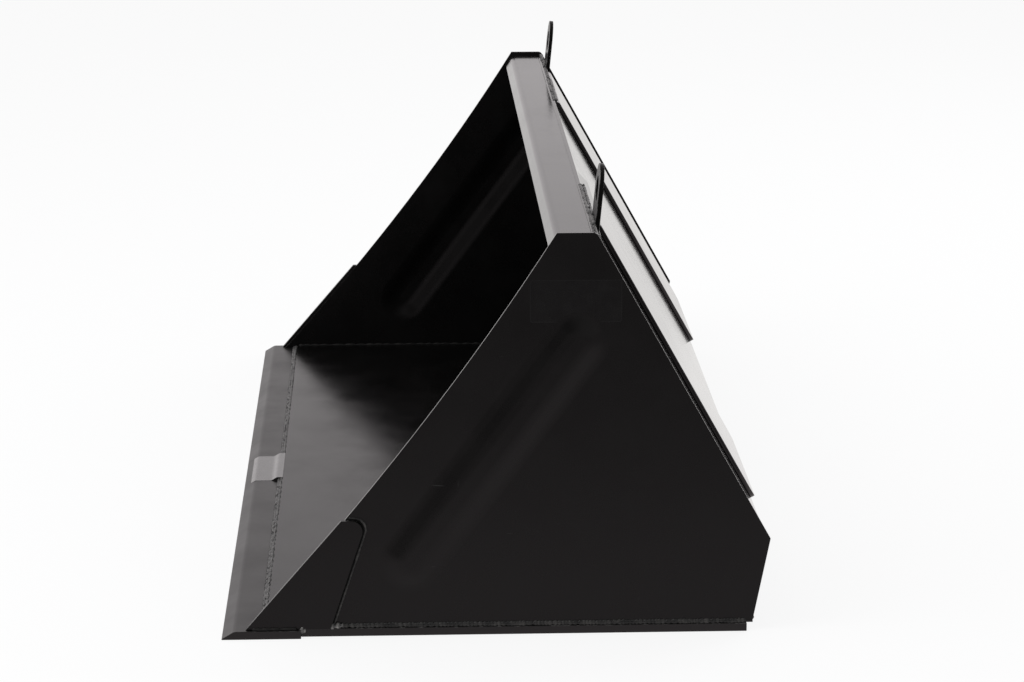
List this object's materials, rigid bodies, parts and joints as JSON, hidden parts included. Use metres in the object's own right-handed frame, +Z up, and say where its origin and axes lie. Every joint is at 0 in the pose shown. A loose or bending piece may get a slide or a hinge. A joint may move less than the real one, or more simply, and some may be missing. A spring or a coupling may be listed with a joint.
{
  "type": "loader bucket",
  "caption": "Welded loader bucket with a bevelled cutting edge, beaded side plates, a folded top beam, flat mounting pads and lifting eyes.",
  "frame": {"origin": "on the ground under the middle of the bucket's box", "axes": "+Z up, +X towards the driver's left, mouth and cutting edge towards -Y"},
  "size_m": [2.033, 0.97, 0.8179],
  "materials": {
    "plate_paint": "semi-gloss",
    "sheet_paint": "gloss",
    "edge_paint": "semi-gloss, rubbed at the edges",
    "eye_paint": "semi-gloss",
    "weld": "rough, painted over"
  },
  "bodies": {
    "root": {"cutting_edge": "edge_paint", "floor_plate": "plate_paint", "back_plate": "sheet_paint", "side_plate_left": "plate_paint", "side_plate_right": "plate_paint", "wear_plate_left": "plate_paint", "wear_plate_right": "plate_paint", "top_beam": "sheet_paint", "mounting_pad_left": "plate_paint", "mounting_pad_right": "plate_paint", "lifting_eye_left": "eye_paint", "lifting_eye_right": "eye_paint", "skid_left": "plate_paint", "skid_right": "plate_paint", "floor_seam_weld": "weld", "heel_weld": "weld", "outer_weld_left": "weld", "outer_weld_right": "weld", "inner_weld_left": "weld", "inner_weld_right": "weld", "wear_weld_left": "weld", "wear_weld_right": "weld", "pad_weld_left": "weld", "pad_weld_right": "weld", "eye_weld_left": "weld", "eye_weld_right": "weld"}
  },
  "joints": []
}
